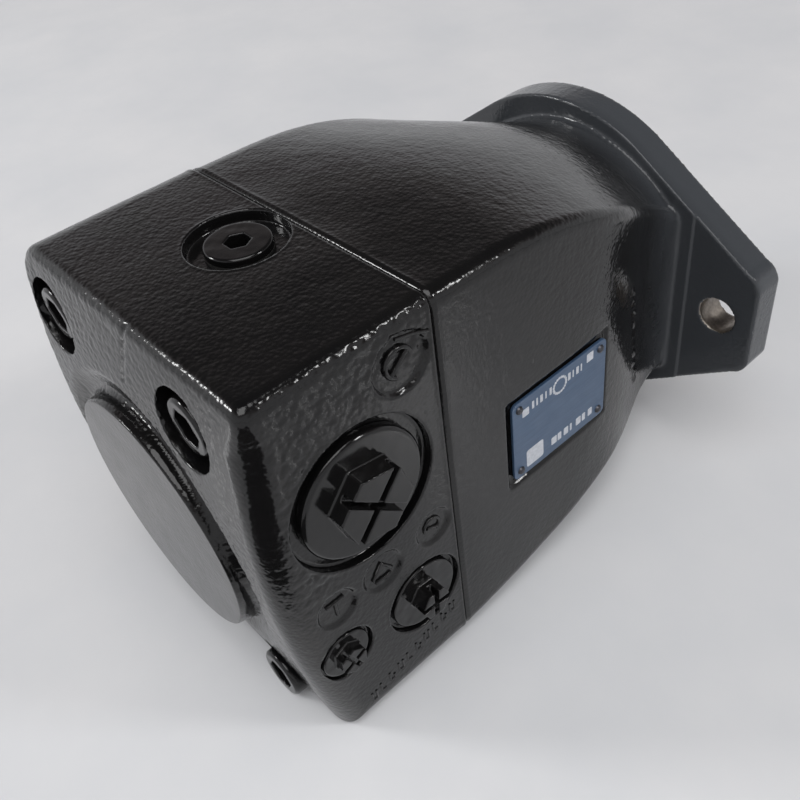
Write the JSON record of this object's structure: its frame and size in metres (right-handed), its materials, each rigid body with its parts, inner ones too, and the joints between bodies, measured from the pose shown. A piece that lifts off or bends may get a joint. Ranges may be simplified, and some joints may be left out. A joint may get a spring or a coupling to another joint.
{
  "type": "hydraulic motor",
  "caption": "Fixed-displacement axial-piston hydraulic motor: flanged iron housing, rear port plate with plugged ports, keyed drive shaft and a working rotating group.",
  "frame": {"origin": "on the shaft axis, in the flange's mounting face, at the root of the pilot", "axes": "+Y along the shaft, out of the drive end; +Z towards the side with the upper case-drain plug; +X towards the side with the name plate"},
  "size_m": [0.175, 0.2462, 0.1466],
  "materials": {
    "casting_paint": "gloss black enamel over rough sand-cast iron",
    "painted_screws": "gloss black enamel over steel",
    "transit_cap": "black enamel over a smooth plug",
    "plate_blue": "printed blue anodised sheet",
    "rivet_metal": "dark drive rivets",
    "shaft_steel": "ground steel",
    "ground_steel": "ground and hardened steel",
    "spring_steel": "oiled spring steel",
    "pressed_steel": "pressed sheet steel",
    "bronze": "lapped bronze",
    "seal_rubber": "nitrile rubber"
  },
  "bodies": {
    "casing": {"bearing_shim": "ground_steel", "bleed_port_plug": "painted_screws", "bottom_drain_plug": "painted_screws", "bottom_drain_seal": "seal_rubber", "front_bearing_cup": "ground_steel", "gauge_port_plug": "painted_screws", "housing": "casting_paint", "housing_seal": "seal_rubber", "name_plate": "plate_blue", "name_plate_rivets": "rivet_metal", "port_plate": "casting_paint", "port_plate_dowels": "ground_steel", "port_plate_screws": "painted_screws", "rear_bearing_cup": "ground_steel", "seal_retaining_ring": "spring_steel", "service_port_plug_left": "transit_cap", "service_port_plug_right": "transit_cap", "shaft_seal": "seal_rubber", "swash_plate": "ground_steel", "swash_plate_pins": "ground_steel", "top_drain_plug": "painted_screws", "top_drain_seal": "seal_rubber", "valve_plate": "bronze", "valve_plate_pin": "ground_steel"},
    "rotor": {"drive_shaft": "shaft_steel", "cylinder_block": "ground_steel", "block_spring": "spring_steel", "spring_washer_front": "ground_steel", "spring_washer_rear": "ground_steel", "spring_clip": "spring_steel", "push_pins": "ground_steel", "retaining_ball": "ground_steel", "front_bearing_cone": "ground_steel", "rear_bearing_cone": "ground_steel"},
    "slipper_ring": {"retaining_plate": "ground_steel", "slipper_1": "bronze", "slipper_2": "bronze", "slipper_3": "bronze", "slipper_4": "bronze", "slipper_5": "bronze", "slipper_6": "bronze", "slipper_7": "bronze", "slipper_8": "bronze", "slipper_9": "bronze"},
    "piston_1": {"piston_1": "ground_steel"},
    "piston_2": {"piston_2": "ground_steel"},
    "piston_3": {"piston_3": "ground_steel"},
    "piston_4": {"piston_4": "ground_steel"},
    "piston_5": {"piston_5": "ground_steel"},
    "piston_6": {"piston_6": "ground_steel"},
    "piston_7": {"piston_7": "ground_steel"},
    "piston_8": {"piston_8": "ground_steel"},
    "piston_9": {"piston_9": "ground_steel"},
    "front_rollers": {"front_bearing_rollers": "ground_steel", "front_bearing_cage": "pressed_steel"},
    "rear_rollers": {"rear_bearing_rollers": "ground_steel", "rear_bearing_cage": "pressed_steel"}
  },
  "joints": [
    {"name": "shaft_spin", "type": "hinge", "parent": "casing", "child": "rotor", "pos_m": [0, 0, 0], "axis": [0, 1, 0], "continuous": true},
    {"name": "slipper_ring_spin", "type": "hinge", "parent": "casing", "child": "slipper_ring", "pos_m": [0, -0.066, 0], "axis": [0, 0.9659, 0.2588], "continuous": true},
    {"name": "piston_1_swivel", "type": "hinge", "parent": "slipper_ring", "child": "piston_1", "pos_m": [0.03154, -0.066, 0], "axis": [0, 0.9659, 0.2588], "continuous": true},
    {"name": "piston_2_swivel", "type": "hinge", "parent": "slipper_ring", "child": "piston_2", "pos_m": [0.02416, -0.07125, 0.01958], "axis": [0, 0.9659, 0.2588], "continuous": true},
    {"name": "piston_3_swivel", "type": "hinge", "parent": "slipper_ring", "child": "piston_3", "pos_m": [0.00548, -0.07404, 0.03], "axis": [0, 0.9659, 0.2588], "continuous": true},
    {"name": "piston_4_swivel", "type": "hinge", "parent": "slipper_ring", "child": "piston_4", "pos_m": [-0.01577, -0.07307, 0.02638], "axis": [0, 0.9659, 0.2588], "continuous": true},
    {"name": "piston_5_swivel", "type": "hinge", "parent": "slipper_ring", "child": "piston_5", "pos_m": [-0.02964, -0.06879, 0.01042], "axis": [0, 0.9659, 0.2588], "continuous": true},
    {"name": "piston_6_swivel", "type": "hinge", "parent": "slipper_ring", "child": "piston_6", "pos_m": [-0.02964, -0.06321, -0.01042], "axis": [0, 0.9659, 0.2588], "continuous": true},
    {"name": "piston_7_swivel", "type": "hinge", "parent": "slipper_ring", "child": "piston_7", "pos_m": [-0.01577, -0.05893, -0.02638], "axis": [0, 0.9659, 0.2588], "continuous": true},
    {"name": "piston_8_swivel", "type": "hinge", "parent": "slipper_ring", "child": "piston_8", "pos_m": [0.00548, -0.05796, -0.03], "axis": [0, 0.9659, 0.2588], "continuous": true},
    {"name": "piston_9_swivel", "type": "hinge", "parent": "slipper_ring", "child": "piston_9", "pos_m": [0.02416, -0.06075, -0.01958], "axis": [0, 0.9659, 0.2588], "continuous": true},
    {"name": "front_cage_spin", "type": "hinge", "parent": "casing", "child": "front_rollers", "pos_m": [0, -0.0226, 0], "axis": [0, 1, 0], "continuous": true},
    {"name": "rear_cage_spin", "type": "hinge", "parent": "casing", "child": "rear_rollers", "pos_m": [0, -0.1494, 0], "axis": [0, 1, 0], "continuous": true}
  ],
  "couplings": [
    {"joint": "slipper_ring_spin", "follows": "shaft_spin", "ratio": 1},
    {"joint": "piston_1_swivel", "follows": "shaft_spin", "ratio": -1},
    {"joint": "piston_2_swivel", "follows": "shaft_spin", "ratio": -1},
    {"joint": "piston_3_swivel", "follows": "shaft_spin", "ratio": -1},
    {"joint": "piston_4_swivel", "follows": "shaft_spin", "ratio": -1},
    {"joint": "piston_5_swivel", "follows": "shaft_spin", "ratio": -1},
    {"joint": "piston_6_swivel", "follows": "shaft_spin", "ratio": -1},
    {"joint": "piston_7_swivel", "follows": "shaft_spin", "ratio": -1},
    {"joint": "piston_8_swivel", "follows": "shaft_spin", "ratio": -1},
    {"joint": "piston_9_swivel", "follows": "shaft_spin", "ratio": -1},
    {"joint": "front_cage_spin", "follows": "shaft_spin", "ratio": 0.42281},
    {"joint": "rear_cage_spin", "follows": "shaft_spin", "ratio": 0.41425}
  ]
}
